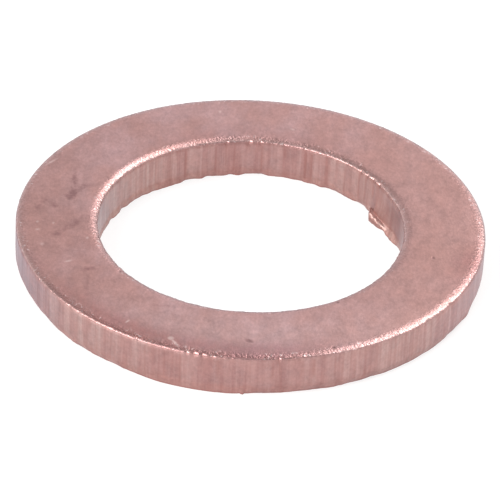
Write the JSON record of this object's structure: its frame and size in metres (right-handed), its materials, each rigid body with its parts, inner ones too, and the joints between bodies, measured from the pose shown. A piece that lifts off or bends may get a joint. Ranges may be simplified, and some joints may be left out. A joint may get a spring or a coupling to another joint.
{
  "type": "crush washer",
  "caption": "Flat soft-copper sealing ring with a round bore, sheared edges rolled on the upper side and torn at the foot.",
  "frame": {"origin": "centre of the ring, on its lower face", "axes": "+Z along the ring's axis, from the lower face to the face with the rolled edges; +X to the right of the picture's view"},
  "size_m": [0.022, 0.022, 0.002],
  "materials": {
    "copper": "satin bare copper, as punched, with light handling marks"
  },
  "bodies": {
    "root": {"copper_washer": "copper"}
  },
  "joints": []
}
